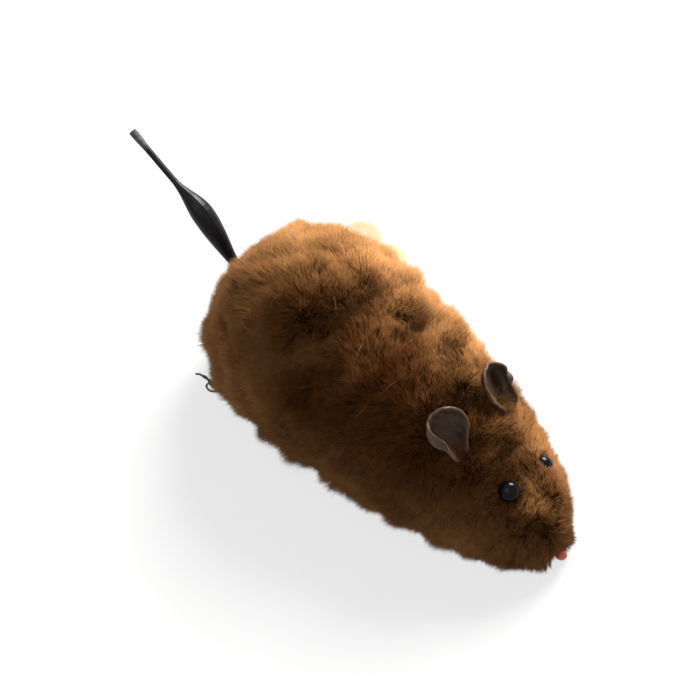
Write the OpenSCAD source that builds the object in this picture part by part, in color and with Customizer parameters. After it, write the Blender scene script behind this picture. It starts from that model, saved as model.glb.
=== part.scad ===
// Wind-up plush mouse. +X is the nose, +Y the mouse's left, +Z up, z = 0 the floor.
// Places are measured from a datum on the floor under the rear of the body, on the centre plane,
// and the whole model is then moved so that its origin is under the centre of its box.

/* [Body] */
// Length of the body over the fur, without the tail
body_len = 100; // [96:1:125]
// Distance of the fullest section from the rear of the body
haunch_x = 30; // [28:0.5:32]
// Greatest width over the fur
body_w = 46.8; // [46:0.2:60]
// Greatest height over the fur
body_h = 44; // [43.5:0.5:56]
// Height of the fur skirt's lower edge above the floor
skirt_z = 1.2; // [0.6:0.1:2]
// Length of the pile
pile_t = 5.5; // [4:0.1:6]
// Thickness of the woven backing
backing_t = 0.8; // [0.4:0.1:1]
// Wall of the moulded body shell
shell_t = 1.2; // [0.8:0.1:1.4]
// Gap between the backing and the shell
cover_gap = 0.1; // [0.05:0.05:0.3]

/* [Chassis] */
// Height of the chassis plate's underside above the floor
plate_z = 2.4; // [1.6:0.1:3]
// Thickness of the chassis plate
plate_t = 1.4; // [1:0.1:1.6]
// Radius of the screw shanks
screw_r = 0.75; // [0.6:0.05:1]
// Radius of the screw heads
screw_head_r = 1.6; // [1.2:0.1:2]
// Radius of the posts that the screws enter
post_r = 2; // [1.6:0.1:2.4]
// Distance of the middle post from the rear of the body
post_mid_x = 52; // [48:1:58]
// Distance of the head post from the rear of the body
post_head_x = 79; // [78:1:81]

/* [Wheels] */
// Diameter over the drive tyres
wheel_d = 15.2; // [14.4:0.1:16]
// Width of the drive wheels
wheel_w = 3; // [2:0.1:3.4]
// Thickness of the rubber tyres
tyre_t = 1.4; // [0.8:0.1:2]
// Radius of the drive axle
axle_r = 1; // [0.8:0.05:1.2]
// Diameter of the front roller
roller_d = 10; // [8.6:0.1:11]
// Width of the front roller
roller_w = 5; // [3:0.1:7]
// Radius of the front roller's axle
roller_axle_r = 0.6; // [0.5:0.05:0.9]
// Distance of the front roller from the rear of the body
roller_x = 68; // [64:1:70]

/* [Motor] */
// Distance of the winding arbor from the rear of the body
main_x = 19.5; // [19.5:0.1:21]
// Height of the winding arbor above the floor
main_z = 18.5; // [18.2:0.1:19]
// Radius of the winding arbor
main_r = 1.5; // [1.2:0.05:1.6]
// Radius of the gear arbors
arbor_r = 0.8; // [0.6:0.05:0.9]
// Distance between the motor plates, inside
motor_w = 11; // [11:0.1:12]
// Thickness of the motor plates
motor_t = 0.8; // [0.6:0.1:1]
// Radius of the frame pillars
pillar_r = 1.1; // [0.8:0.1:1.2]
// Module of the gears
gear_m = 0.5; // [0.48:0.01:0.5]
// Teeth of the great gear
great_n = 36; // [36]
// Teeth of the second pinion
second_pinion_n = 12; // [12]
// Teeth of the second gear
second_gear_n = 24; // [24]
// Teeth of the drive pinion
drive_pinion_n = 10; // [10]
// Teeth of the tail arbor's pinion
tail_arbor_n = 10; // [10]
// Teeth of the crown gear
crown_n = 10; // [10]
// Teeth of the tail pinion
tail_pinion_n = 8; // [8]
// Direction from the great gear to the second arbor, in degrees above +X
second_angle = -20; // [-22:1:-16]
// Play between gear teeth, at the pitch circle
backlash = 0.14; // [0.1:0.01:0.2]
// Thickness of the spring strip
spring_t = 0.25; // [0.15:0.05:0.3]
// Width of the spring strip
spring_w = 3.4; // [2.4:0.1:3.6]
// Radius of the wound spring's outer turn
spring_r = 7.3; // [6:0.1:7.4]
// Radial clearance of a shaft in its bearing
run_gap = 0.05; // [0.02:0.01:0.08]

/* [Key] */
// Radius of each lobe of the key
lobe_r = 4.6; // [4:0.1:5.4]
// Distance of each lobe's centre from the stem's axis
lobe_x = 3.9; // [3:0.1:4.4]
// Thickness of the key's grip
key_t = 2.4; // [1.6:0.1:3]
// Radius of the key's hub
hub_r = 2.6; // [2.2:0.1:3.2]
// Gap between the backing's widest line and the grip
key_gap = 4.7; // [4:0.1:6]
// Tilt of the grip at rest, front lobe up if positive
key_tilt = -15; // [-90:1:90]

/* [Tail] */
// Slope of the tail shaft above the floor
tail_tilt = 33; // [32:0.5:34]
// Height at which the shaft's line passes 5 mm in front of the rear of the body
tail_line_z = 17; // [16.8:0.1:17.3]
// Radius of the tail shaft
tail_shaft_r = 0.75; // [0.6:0.05:0.8]
// Radius of the thin parts of the tail
tail_r = 0.75; // [0.6:0.05:1]
// Radius of the tail's bulb
bulb_r = 2.7; // [2.2:0.1:2.8]
// Radius of the tail's blunt tip
tip_r = 0.95; // [0.8:0.05:1.2]

/* [Head] */
// Radius of the ears
ear_r = 5.4; // [4.6:0.1:6]
// Thickness of the ears
ear_t = 0.9; // [0.6:0.1:1.2]
// Radius of the bead eyes
eye_r = 2.3; // [1.8:0.1:2.6]
// Radius of the nose
nose_r = 1.5; // [1.2:0.1:2]

/* [Hidden] */

small = 0.01;
round_fn = 48;

// Insets of the layers from the fur's outer surface
cover_inner = pile_t + backing_t;
shell_outer = cover_inner + cover_gap;
shell_inner = shell_outer + shell_t;

// Body envelope: width and height along the body as shares of the greatest ones.
// The body is fullest at peak of its length; the rear is blunt and the head tapers.
peak = haunch_x / body_len;
function rear_t(u) = max(0, (peak - u) / peak);
function head_t(u) = max(0, (u - peak) / (1 - peak));
function width_share(u) = pow(1 - pow(rear_t(u), 2.5), 0.4) * pow(1 - pow(head_t(u), 1.7), 0.5);
function height_share(u) = pow(1 - pow(rear_t(u), 2.2), 0.32) * pow(1 - pow(head_t(u), 1.2), 0.5);

envelope_z = 1.5;
belly_share = 0.2;
belly_pinch = 0.16;
section_power = 0.8;
function layer_len(inset) = body_len - 2 * inset;
function layer_u(x, inset) = (x - inset) / layer_len(inset);
function half_w(x, inset) = (body_w / 2 - inset) * width_share(layer_u(x, inset));
function rise(x, inset) = (body_h - envelope_z - inset) * height_share(layer_u(x, inset));
function belly_z(x, inset) = envelope_z + belly_share * rise(x, inset);
function roof_z(x, inset) = envelope_z + rise(x, inset);

// Point of one cross-section, from its lower left edge (t = 0) over the back to t = 1
belly_part = 0.12;
function signed_pow(v, p) = sign(v) * pow(abs(v), p);
function low_y(x, inset, fall) = half_w(x, inset) * (1 - belly_pinch * fall * fall);
function low_pt(x, inset, z0, fall, side) =
    [x, side * low_y(x, inset, fall), belly_z(x, inset) - fall * (belly_z(x, inset) - z0)];
function over_pt(x, inset, a) = [
    x,
    half_w(x, inset) * signed_pow(cos(a), section_power),
    belly_z(x, inset) + (roof_z(x, inset) - belly_z(x, inset)) * pow(sin(a), section_power)
];
function section_pt(x, inset, z0, t) =
    t < belly_part ? low_pt(x, inset, z0, 1 - t / belly_part, 1)
    : t > 1 - belly_part ? low_pt(x, inset, z0, 1 - (1 - t) / belly_part, -1)
    : over_pt(x, inset, 180 * (t - belly_part) / (1 - 2 * belly_part));

// Open-bottomed bowl between two insets of the envelope, as one closed solid
stations = 24;
spokes = 24;
end_u = 0.005;
function station_x(i, inset) =
    inset + layer_len(inset) * (end_u + (1 - 2 * end_u) * (1 - cos(180 * i / stations)) / 2);
function layer_pts(inset, z0) = [
    for (i = [0:stations]) for (j = [0:spokes])
        section_pt(station_x(i, inset), inset, z0, j / spokes)
];
row = spokes + 1;
layer_n = (stations + 1) * row;
function at(i, j, base) = base + i * row + j;
module bowl(outer, inner, z0) {
    outside = [
        for (i = [0:stations - 1]) for (j = [0:spokes - 1])
            [[at(i, j, 0), at(i + 1, j, 0), at(i + 1, j + 1, 0)],
             [at(i, j, 0), at(i + 1, j + 1, 0), at(i, j + 1, 0)]]
    ];
    inside = [
        for (i = [0:stations - 1]) for (j = [0:spokes - 1])
            [[at(i + 1, j, layer_n), at(i, j, layer_n), at(i + 1, j + 1, layer_n)],
             [at(i + 1, j + 1, layer_n), at(i, j, layer_n), at(i, j + 1, layer_n)]]
    ];
    rim = [
        for (i = [0:stations - 1])
            [[at(i, 0, 0), at(i, 0, layer_n), at(i + 1, 0, layer_n), at(i + 1, 0, 0)],
             [at(i, spokes, layer_n), at(i, spokes, 0), at(i + 1, spokes, 0),
              at(i + 1, spokes, layer_n)]]
    ];
    ends = [
        [for (j = [0:spokes]) at(0, j, 0)],
        [for (j = [spokes:-1:0]) at(stations, j, 0)],
        [for (j = [spokes:-1:0]) at(0, j, layer_n)],
        [for (j = [0:spokes]) at(stations, j, layer_n)],
        [at(0, spokes, 0), at(0, spokes, layer_n), at(0, 0, layer_n), at(0, 0, 0)],
        [at(stations, 0, 0), at(stations, 0, layer_n), at(stations, spokes, layer_n),
         at(stations, spokes, 0)]
    ];
    polyhedron(
        concat(layer_pts(outer, z0), layer_pts(inner, z0)),
        concat([for (pair = outside) each pair], [for (pair = inside) each pair],
               [for (pair = rim) each pair], ends)
    );
}

// Levels and gear places, in the plane of the wheels (x, z)
floor_z = plate_z + plate_t;
wheel_r = wheel_d / 2;
roller_r = roller_d / 2;
function mesh_dist(a, b) = gear_m * (a + b) / 2;
function polar(r, a) = [r * cos(a), r * sin(a)];
main_at = [main_x, main_z];
second_at = main_at + polar(mesh_dist(great_n, second_pinion_n), second_angle);
drive_dist = mesh_dist(second_gear_n, drive_pinion_n);
drive_rise = wheel_r - second_at.y;
drive_at = [second_at.x - sqrt(drive_dist * drive_dist - drive_rise * drive_rise), wheel_r];

// The tail shaft runs up and back; its line meets the tail arbor's axis
tail_dir = polar(1, 180 - tail_tilt);
tail_line_x = 5;
line_to_main = main_at - [tail_line_x, tail_line_z];
along_main = -line_to_main * tail_dir;
off_main = cross(line_to_main, tail_dir);
tail_dist = mesh_dist(great_n, tail_arbor_n);
tail_reach = along_main + sqrt(tail_dist * tail_dist - off_main * off_main);
tail_arbor_at = [tail_line_x, tail_line_z] - tail_reach * tail_dir;
function direction(from, to) = atan2(to.y - from.y, to.x - from.x);

// Angle of a gear that meshes with another: a gap of the second faces a tooth of the first
function mesh_phase(from, to, phase, n_from, n_to) =
    direction(from, to) + 180 - (phase - direction(from, to)) * n_from / n_to - 180 / n_to;
great_phase = 0;
second_phase = mesh_phase(main_at, second_at, great_phase, great_n, second_pinion_n);
drive_phase = mesh_phase(second_at, drive_at, second_phase, second_gear_n, drive_pinion_n);
tail_arbor_phase = mesh_phase(main_at, tail_arbor_at, great_phase, great_n, tail_arbor_n);

// Places across the motor, from right (-) to left (+)
plate_in = motor_w / 2;
plate_out = plate_in + motor_t;
second_y = [-5.2, -4.0];
drive_pinion_y = [-5.3, -3.9];
great_y = [2.8, 4.2];
pinion_y = [2.6, 4.4];
spring_y = [-1.1, -1.1 + spring_w];
ratchet_y = [4.4, 5.1];
wheel_gap = 0.7;
wheel_y = plate_out + wheel_gap;
axle_end = wheel_y + wheel_w + 0.4;

// Frame pillars stand clear of the gears
pillar_gap = 0.5;
great_tip = gear_m * (great_n / 2 + 0.8);
pillar_dist = great_tip + pillar_r + pillar_gap;
second_tip = gear_m * (second_gear_n / 2 + 0.8);
rear_pillar_back = 6.8;
rear_pillar_drop = 0.5;
low_pillar_a = -59;
front_pillar_a = 40;
top_pillar_a = 80;
pillars_at = [
    tail_arbor_at - [rear_pillar_back, rear_pillar_drop],
    second_at + polar(second_tip + pillar_r + pillar_gap, low_pillar_a),
    main_at + polar(pillar_dist + 0.4, front_pillar_a),
    main_at + polar(pillar_dist, top_pillar_a)
];
pillar_pad = 0.6;
pad_r = pillar_r + pillar_pad;

// Involute gear outline with 25 degree flanks
flank = 25;
addendum = 0.8;
dedendum = 1.1;
flank_steps = 4;
function involute(a) = tan(a) * 180 / PI - a;
function base_r(n) = gear_m * n / 2 * cos(flank);
function tooth_half(n, r) =
    90 / n - backlash * 45 / (PI * gear_m * n / 2) + involute(flank)
    - involute(acos(min(1, base_r(n) / r)));
function flank_r(n, i) =
    let (low = max(base_r(n), gear_m * (n / 2 - dedendum)), tip = gear_m * (n / 2 + addendum))
    low + (tip - low) * i / flank_steps;
function tooth_pts(n, a) = concat(
    [polar(gear_m * (n / 2 - dedendum), a - tooth_half(n, flank_r(n, 0)))],
    [for (i = [0:flank_steps]) polar(flank_r(n, i), a - tooth_half(n, flank_r(n, i)))],
    [for (i = [flank_steps:-1:0]) polar(flank_r(n, i), a + tooth_half(n, flank_r(n, i)))],
    [polar(gear_m * (n / 2 - dedendum), a + tooth_half(n, flank_r(n, 0)))]
);
module gear_outline(n, phase) {
    polygon([for (k = [0:n - 1]) each tooth_pts(n, phase + 360 * k / n)]);
}

// Draws a shape in the (x, z) plane at a place and gives it a stretch across the body
module across(y, place = [0, 0]) {
    translate([place.x, y[1], place.y]) rotate([90, 0, 0]) linear_extrude(y[1] - y[0]) children();
}
module rod(y, place, r) {
    translate([place.x, y[1], place.y]) rotate([90, 0, 0]) cylinder(h = y[1] - y[0], r = r, $fn = round_fn);
}
module ring(y, place, r, bore) {
    difference() {
        rod(y, place, r);
        rod([y[0] - 1, y[1] + 1], place, bore);
    }
}
module gear(n, y, place, phase, bore) {
    difference() {
        across(y, place) gear_outline(n, phase);
        rod([y[0] - 1, y[1] + 1], place, bore);
    }
}
// Frame of the tail shaft: its axis becomes Z, starting at the tail arbor's axis
module on_tail_line(reach = 0) {
    translate([tail_arbor_at.x, 0, tail_arbor_at.y]) rotate([0, tail_tilt - 90, 0])
        translate([0, 0, reach]) children();
}

// Tail: places of its centre line, bulb and tip, counted from the rear of the body
bush_r = 1.7;
bush_reach = [12.4, 16.2];
tail_start = bush_reach[1] + 0.3;
tail_socket = 3;
tail_root = tail_arbor_at + tail_start * tail_dir;
TAIL_ROUTE = [
    tail_root, tail_root + 4 * tail_dir, [-1.5, 21.8], [-6, 26.4], [-11, 31], [-18, 34.4],
    [-25, 38], [-32.2, 41.8]
];
tail_spans = len(TAIL_ROUTE) - 1;
bulb_place = 3.8;
bulb_fore = 2.9;
bulb_aft = 1.4;
tip_share = 0.6;
function spline(a, b, c, d, t) =
    0.5 * ((2 * b) + (c - a) * t + (2 * a - 5 * b + 4 * c - d) * t * t
    + (3 * b - a - 3 * c + d) * t * t * t);
function knot(i) = TAIL_ROUTE[max(0, min(tail_spans, i))];
function tail_pt(s) =
    let (i = min(tail_spans - 1, floor(s)))
    spline(knot(i - 1), knot(i), knot(i + 1), knot(i + 2), s - i);
function tail_heading(s) =
    let (a = tail_pt(max(0, s - 0.1)), b = tail_pt(min(tail_spans, s + 0.1)))
    direction(a, b);
function bell(v) = abs(v) < 1 ? (1 + cos(180 * v)) / 2 : 0;
root_extra_r = 0.55;
root_spans = 2;
tip_step = 0.2;
function root_swell(s) = root_extra_r * max(0, 1 - s / root_spans);
function tip_swell(s) = (tip_r - tail_r) * max(0, min(1, (s - tail_spans + tip_share) / tip_step));
function tail_radius(s) =
    tail_r + (bulb_r - tail_r) * bell((s - bulb_place) / (s < bulb_place ? bulb_fore : bulb_aft))
    + root_swell(s) + tip_swell(s);
tail_rings = 40;
tail_sides = 16;
function tail_ring(s) =
    let (p = tail_pt(s), h = tail_heading(s), r = tail_radius(s))
    [for (k = [0:tail_sides - 1])
        let (a = 360 * k / tail_sides)
        [p.x - r * cos(a) * sin(h), r * sin(a), p.y + r * cos(a) * cos(h)]];

// Box of the whole model, for its origin
x_low = TAIL_ROUTE[tail_spans].x - tip_r * sin(30);
nose_proud = 0.3;
x_high = body_len + nose_proud;
grip_inner = body_w / 2 - cover_inner + key_gap;
grip_y = grip_inner + lobe_r;
y_low = -body_w / 2;
y_high = grip_y + lobe_r;
module placed() {
    translate([-(x_low + x_high) / 2, -(y_low + y_high) / 2, 0]) children();
}

// Head: ears, eyes and nose are pieces with a root in the fur, and the fur has their shape cut out
ear_x = 0.747 * body_len;
eye_x = 0.864 * body_len;
ear_round_a = 70;
ear_at = over_pt(ear_x, 0, ear_round_a);
// The beads are sewn on by hand: the left one sits lower on the side and deeper in the pile
right_eye_at = over_pt(eye_x, 0.6, 74);
left_eye_at = over_pt(eye_x, 1.8, 54);
// Tilt and turn of the ear's face, and the turn of the ear in its own plane
ear_tilt = [0, 56, 38];
ear_spin = 65;
ear_root = 3;
ear_root_w = 3.2;
ear_lift = 0.6;
shank_r = 0.5;
shank_len = 4;
// Lean of the eye's shank from straight down: to the rear, and to the middle
shank_rear_a = 25;
shank_in_a = 18;
module ear_shape(grow) {
    translate(ear_at) rotate(ear_tilt) rotate([0, 0, ear_spin])
        translate([0, 0, -ear_t / 2 - grow]) linear_extrude(ear_t + 2 * grow) {
            translate([0, ear_r + ear_lift]) circle(r = ear_r + grow, $fn = round_fn);
            translate([-ear_root_w / 2 - grow, -ear_root - grow])
                square([ear_root_w + 2 * grow, 2 * ear_root]);
        }
}
module eye_shape(place, grow) {
    translate(place) {
        sphere(r = eye_r + grow, $fn = 32);
        rotate([0, 180 + shank_rear_a, 0]) rotate([-shank_in_a, 0, 0])
            cylinder(h = shank_len + grow, r = shank_r + grow, $fn = 24);
    }
}
nose_z = 3.6;
nose_at = [body_len + nose_proud - nose_r, 0, nose_z];
module nose_shape(grow) {
    translate(nose_at) {
        sphere(r = nose_r + grow, $fn = 32);
        rotate([0, -90, 0]) cylinder(h = shank_len + grow, r = shank_r + grow, $fn = 24);
    }
}
// Loose sewing thread at the rear right edge of the skirt
tuft_x = 13;
tuft_z = 2.2;
tuft_fall = 0.85;
tuft_y = -low_y(tuft_x, 0, tuft_fall) - 0.2;
knot_r = 0.9;
thread_r = 0.3;
thread_len = 5;
THREAD_TURNS = [[90, 0, -65], [72, 0, -85]];
module tuft_shape(grow) {
    translate([tuft_x, tuft_y, tuft_z]) {
        sphere(r = knot_r + grow, $fn = 24);
        for (turn = THREAD_TURNS) rotate(turn) cylinder(h = thread_len, r = thread_r + grow, $fn = 16);
    }
}
fit_gap = 0.05;

// Base plate that closes the belly
plate_edge_gap = 0.3;
edge_steps = 32;
function edge_x(i) =
    shell_inner + layer_len(shell_inner) * (0.02 + 0.96 * (1 - cos(180 * i / edge_steps)) / 2);
function edge_y(x) = (1 - belly_pinch) * half_w(x, shell_inner) - plate_edge_gap;
module plate_outline() {
    polygon(concat(
        [for (i = [0:edge_steps]) [edge_x(i), -edge_y(edge_x(i))]],
        [for (i = [edge_steps:-1:0]) [edge_x(i), edge_y(edge_x(i))]]
    ));
}
wheel_room = 0.4;
function chord(r, drop) = sqrt(r * r - drop * drop);
module slot(x, y, half_x, half_y) {
    translate([x - half_x, y - half_y, plate_z - 1]) cube([2 * half_x, 2 * half_y, plate_t + 2]);
}
bracket_t = 1.2;
bracket_top = roller_r + 1.8;
bracket_in = roller_w / 2 + 0.4;
tab_w = 3;
tab_depth = 1;
tabs_x = [pillars_at[0].x + 4, pillars_at[1].x - 4];
head_depth = 0.8;
posts_x = [post_mid_x, post_head_x];
module chassis_plate() color("#3a3a3c") {
    difference() {
        translate([0, 0, plate_z]) linear_extrude(plate_t) plate_outline();
        for (s = [-1, 1])
            slot(drive_at.x, s * (wheel_y + wheel_w / 2), chord(wheel_r, wheel_r - floor_z) + wheel_room,
                 wheel_w / 2 + wheel_room);
        slot(roller_x, 0, chord(roller_r, max(0, roller_r - floor_z)) + wheel_room, bracket_in);
        for (x = posts_x) translate([x, 0, plate_z - 1]) {
            cylinder(h = plate_t + 2, r = screw_r + run_gap, $fn = 24);
            cylinder(h = 1 + head_depth, r = screw_head_r + run_gap, $fn = 32);
        }
        for (x = tabs_x) for (s = [-1, 1])
            translate([x - tab_w / 2 - fit_gap, s * (plate_in + plate_out) / 2 - motor_t / 2 - fit_gap,
                       plate_z - 1])
                cube([tab_w + 2 * fit_gap, motor_t + 2 * fit_gap, plate_t + 2]);
    }
    for (s = [-1, 1]) difference() {
        translate([roller_x - 2, s * (bracket_in + bracket_t / 2) - bracket_t / 2, plate_z + 0.5])
            cube([4, bracket_t, bracket_top - plate_z - 0.5]);
        rod([s * bracket_in - 3, s * bracket_in + 3], [roller_x, roller_r], roller_axle_r);
    }
}

// Moulded shell under the plush, with two screw posts and holes for the stem and the bush
post_bite = 0.8;
pilot_depth = 7;
key_hole_r = hub_r + 0.4;
module screw_post(x) {
    translate([x, 0, floor_z]) difference() {
        cylinder(h = roof_z(x + post_r, shell_inner) + post_bite * shell_t - floor_z, r = post_r, $fn = 32);
        translate([0, 0, -1]) cylinder(h = pilot_depth + 1, r = screw_r + small, $fn = 24);
    }
}
module body_shell() color("#4a3a30") {
    difference() {
        bowl(shell_outer, shell_inner, plate_z);
        rod([body_w / 4, body_w / 2], main_at, main_r + 0.9);
        on_tail_line(10) cylinder(h = 12, r = bush_r, $fn = 32);
    }
    for (x = posts_x) screw_post(x);
}

// Plush cover: pile and backing as one soft solid
recess_gap = 0.6;
tail_hole_r = 3.2;
module fur_cover() color("#7a4a26") {
    difference() {
        bowl(0, cover_inner, skirt_z);
        rod([body_w / 4, body_w], main_at, key_hole_r);
        rod([grip_inner - recess_gap, body_w], main_at, lobe_x + lobe_r + recess_gap);
        on_tail_line(10) cylinder(h = 30, r = tail_hole_r, $fn = 32);
        ear_shape(fit_gap);
        mirror([0, 1, 0]) ear_shape(fit_gap);
        eye_shape(left_eye_at, fit_gap);
        mirror([0, 1, 0]) eye_shape(right_eye_at, fit_gap);
        nose_shape(fit_gap);
        tuft_shape(fit_gap);
    }
}
module ear_left() color("#4b3626") ear_shape(0);
module ear_right() color("#4b3626") mirror([0, 1, 0]) ear_shape(0);
module eye_left() color("#101012") eye_shape(left_eye_at, 0);
module eye_right() color("#101012") mirror([0, 1, 0]) eye_shape(right_eye_at, 0);
module nose() color("#b04a48") nose_shape(0);
module thread_tuft() color("#202022") tuft_shape(0);

// Screws from below, through the plate into the posts
screw_len = 6;
module body_screws() color("silver") {
    for (x = posts_x) translate([x, 0, plate_z]) difference() {
        union() {
            cylinder(h = head_depth, r = screw_head_r, $fn = 32);
            cylinder(h = head_depth + screw_len, r = screw_r, $fn = 24);
        }
        for (a = [0, 90]) rotate([0, 0, a]) translate([-1, -0.15, -small]) cube([2, 0.3, 0.4]);
    }
}

// Motor frame: two plates with the pivots' bearings, held apart by pillars
pivot_pad = 2.2;
module motor_plate(y) {
    difference() {
        union() {
            across(y) polygon([for (p = pillars_at) p]);
            translate([pillars_at[0].x - pad_r, y[0], floor_z])
                cube([pillars_at[1].x - pillars_at[0].x + 2 * pad_r, y[1] - y[0], wheel_r - floor_z]);
            for (p = pillars_at) rod(y, p, pad_r);
            rod(y, drive_at, axle_r + 1.4);
            rod(y, second_at, pivot_pad);
            rod(y, tail_arbor_at, pivot_pad);
            for (x = tabs_x) translate([x - tab_w / 2, y[0], floor_z - tab_depth])
                cube([tab_w, y[1] - y[0], tab_depth + 1]);
        }
        rod([y[0] - 1, y[1] + 1], main_at, main_r + run_gap);
        rod([y[0] - 1, y[1] + 1], drive_at, axle_r + run_gap);
        rod([y[0] - 1, y[1] + 1], second_at, arbor_r + run_gap);
        rod([y[0] - 1, y[1] + 1], tail_arbor_at, arbor_r + run_gap);
        for (p = pillars_at) rod([y[0] - 1, y[1] + 1], p, pillar_r / 2);
    }
}
module motor_plate_left() color("#b9bbbe") motor_plate([plate_in, plate_out]);
module motor_plate_right() color("#b9bbbe") motor_plate([-plate_out, -plate_in]);
rivet_head = 0.3;
module frame_pillars() color("#c9a44a") {
    for (p = pillars_at) {
        rod([-plate_in, plate_in], p, pillar_r);
        rod([-plate_out - rivet_head, plate_out + rivet_head], p, pillar_r / 2);
    }
}

// Mainspring: a spiral strip; its outer end runs out to the pillar above the great gear
spring_turns = 6;
spring_inner = main_r + 2 * run_gap;
run_out_a = 70;
spring_end_a = 80;
spring_total = 360 * spring_turns;
run_out = pillar_dist - pillar_r - spring_t - 0.1 - spring_r;
function spring_radius(a) =
    spring_inner + (spring_r - spring_inner) * a / spring_total
    + run_out * pow(max(0, a - spring_total + run_out_a) / run_out_a, 2);
spring_step = 12;
module mainspring() color("#5d6a78") {
    across(spring_y, main_at) polygon(concat(
        [for (a = [0:spring_step:spring_total]) polar(spring_radius(a), a + spring_end_a)],
        [for (a = [spring_total:-spring_step:0]) polar(spring_radius(a) + spring_t, a + spring_end_a)]
    ));
}

module tail_bush() color("#c9a44a") {
    on_tail_line(bush_reach[0]) difference() {
        cylinder(h = bush_reach[1] - bush_reach[0], r = bush_r, $fn = 32);
        translate([0, 0, -1]) cylinder(h = 10, r = tail_shaft_r + run_gap, $fn = 32);
    }
}
module roller_axle() color("silver") {
    rod([-bracket_in - bracket_t, bracket_in + bracket_t], [roller_x, roller_r], roller_axle_r);
}

// Great gear, loose on the winding arbor, with the click that the ratchet wheel turns against
ratchet_r = 3.2;
ratchet_n = 12;
ratchet_depth = 0.6;
ratchet_phase = 15.5;
click_post_r = 0.8;
// The click's bends: distance and angle about the winding arbor, from its post to its tip
CLICK = [[5.4, -13], [5.0, 5], [4.2, 22], [3.5, 36], [3.05, 41.5]];
click_half = 0.15;
// Lightening holes of the great gear
web_holes = 5;
web_hole_r = 1.5;
web_hole_dist = 6.3;
module great_gear() color("#e6dfc8") {
    difference() {
        gear(great_n, great_y, main_at, great_phase, main_r + run_gap);
        for (k = [0:web_holes - 1])
            rod([great_y[0] - 1, great_y[1] + 1], main_at + polar(web_hole_dist, (k + 0.5) * 360 / web_holes),
                web_hole_r);
    }
}
module click_spring() color("#5d6a78") {
    rod([great_y[1], ratchet_y[1]], main_at + polar(CLICK[0][0], CLICK[0][1]), click_post_r);
    across(ratchet_y, main_at) polygon(concat(
        [for (p = CLICK) polar(p[0] + click_half, p[1])],
        [for (k = [len(CLICK) - 1:-1:0]) polar(CLICK[k][0] - click_half, CLICK[k][1])]
    ));
}
hub_len = [4.3, 3];
hub_y = [grip_inner - hub_len[0], grip_inner + hub_len[1]];
bridge_inset = 1.2;
bridge_proud = 0.9;
module winding_arbor() color("silver") {
    rod([-plate_out - 0.3, hub_y[1] - 1], main_at, main_r);
}
module ratchet_wheel() color("#c9a44a") {
    difference() {
        across(ratchet_y, main_at) polygon([
            for (k = [0:ratchet_n - 1])
                let (a = ratchet_phase + 360 * k / ratchet_n)
                each [polar(ratchet_r - ratchet_depth, a - 3), polar(ratchet_r, a)]
        ]);
        rod([ratchet_y[0] - 1, ratchet_y[1] + 1], main_at, main_r);
    }
}
module key_grip() color("#c9c49a") {
    difference() {
        union() {
            rod(hub_y, main_at, hub_r);
            translate([main_at.x, 0, main_at.y]) rotate([0, -key_tilt, 0]) {
                for (s = [-1, 1]) translate([s * lobe_x, grip_y, -key_t / 2])
                    cylinder(h = key_t, r = lobe_r, $fn = 64);
                translate([-lobe_x, grip_inner + bridge_inset, -key_t / 2])
                    cube([2 * lobe_x, lobe_r + bridge_proud, key_t]);
            }
        }
        rod([hub_y[0] - 1, hub_y[1] - 1], main_at, main_r);
    }
}

// Second arbor: pinion from the great gear, gear to the drive pinion
module second_arbor() color("silver") rod([-plate_out + 0.2, plate_out - 0.2], second_at, arbor_r);
module second_gear() color("#e6dfc8") gear(second_gear_n, second_y, second_at, second_phase, arbor_r);
module second_pinion() color("#c9a44a") {
    gear(second_pinion_n, pinion_y, second_at, second_phase, arbor_r);
}

// Drive axle and wheels
module drive_axle() color("silver") rod([-axle_end, axle_end], drive_at, axle_r);
module drive_pinion() color("#c9a44a") {
    gear(drive_pinion_n, drive_pinion_y, drive_at, drive_phase, axle_r);
}
rim_r = wheel_r - tyre_t;
dish_depth = 0.8;
module wheel(side) {
    scale_y = side > 0 ? [wheel_y, wheel_y + wheel_w] : [-wheel_y - wheel_w, -wheel_y];
    dish_y = side > 0 ? [wheel_y + wheel_w - dish_depth, wheel_y + wheel_w + 1]
        : [-wheel_y - wheel_w - 1, -wheel_y - wheel_w + dish_depth];
    difference() {
        rod(scale_y, drive_at, rim_r);
        ring(dish_y, drive_at, rim_r - 1, axle_r + 1.2);
        rod([scale_y[0] - 1, scale_y[1] + 1], drive_at, axle_r);
    }
}
module wheel_left() color("#2c2c2e") wheel(1);
module wheel_right() color("#2c2c2e") wheel(-1);
module tyre_left() color("#151516") ring([wheel_y, wheel_y + wheel_w], drive_at, wheel_r, rim_r);
module tyre_right() color("#151516") ring([-wheel_y - wheel_w, -wheel_y], drive_at, wheel_r, rim_r);

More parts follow.
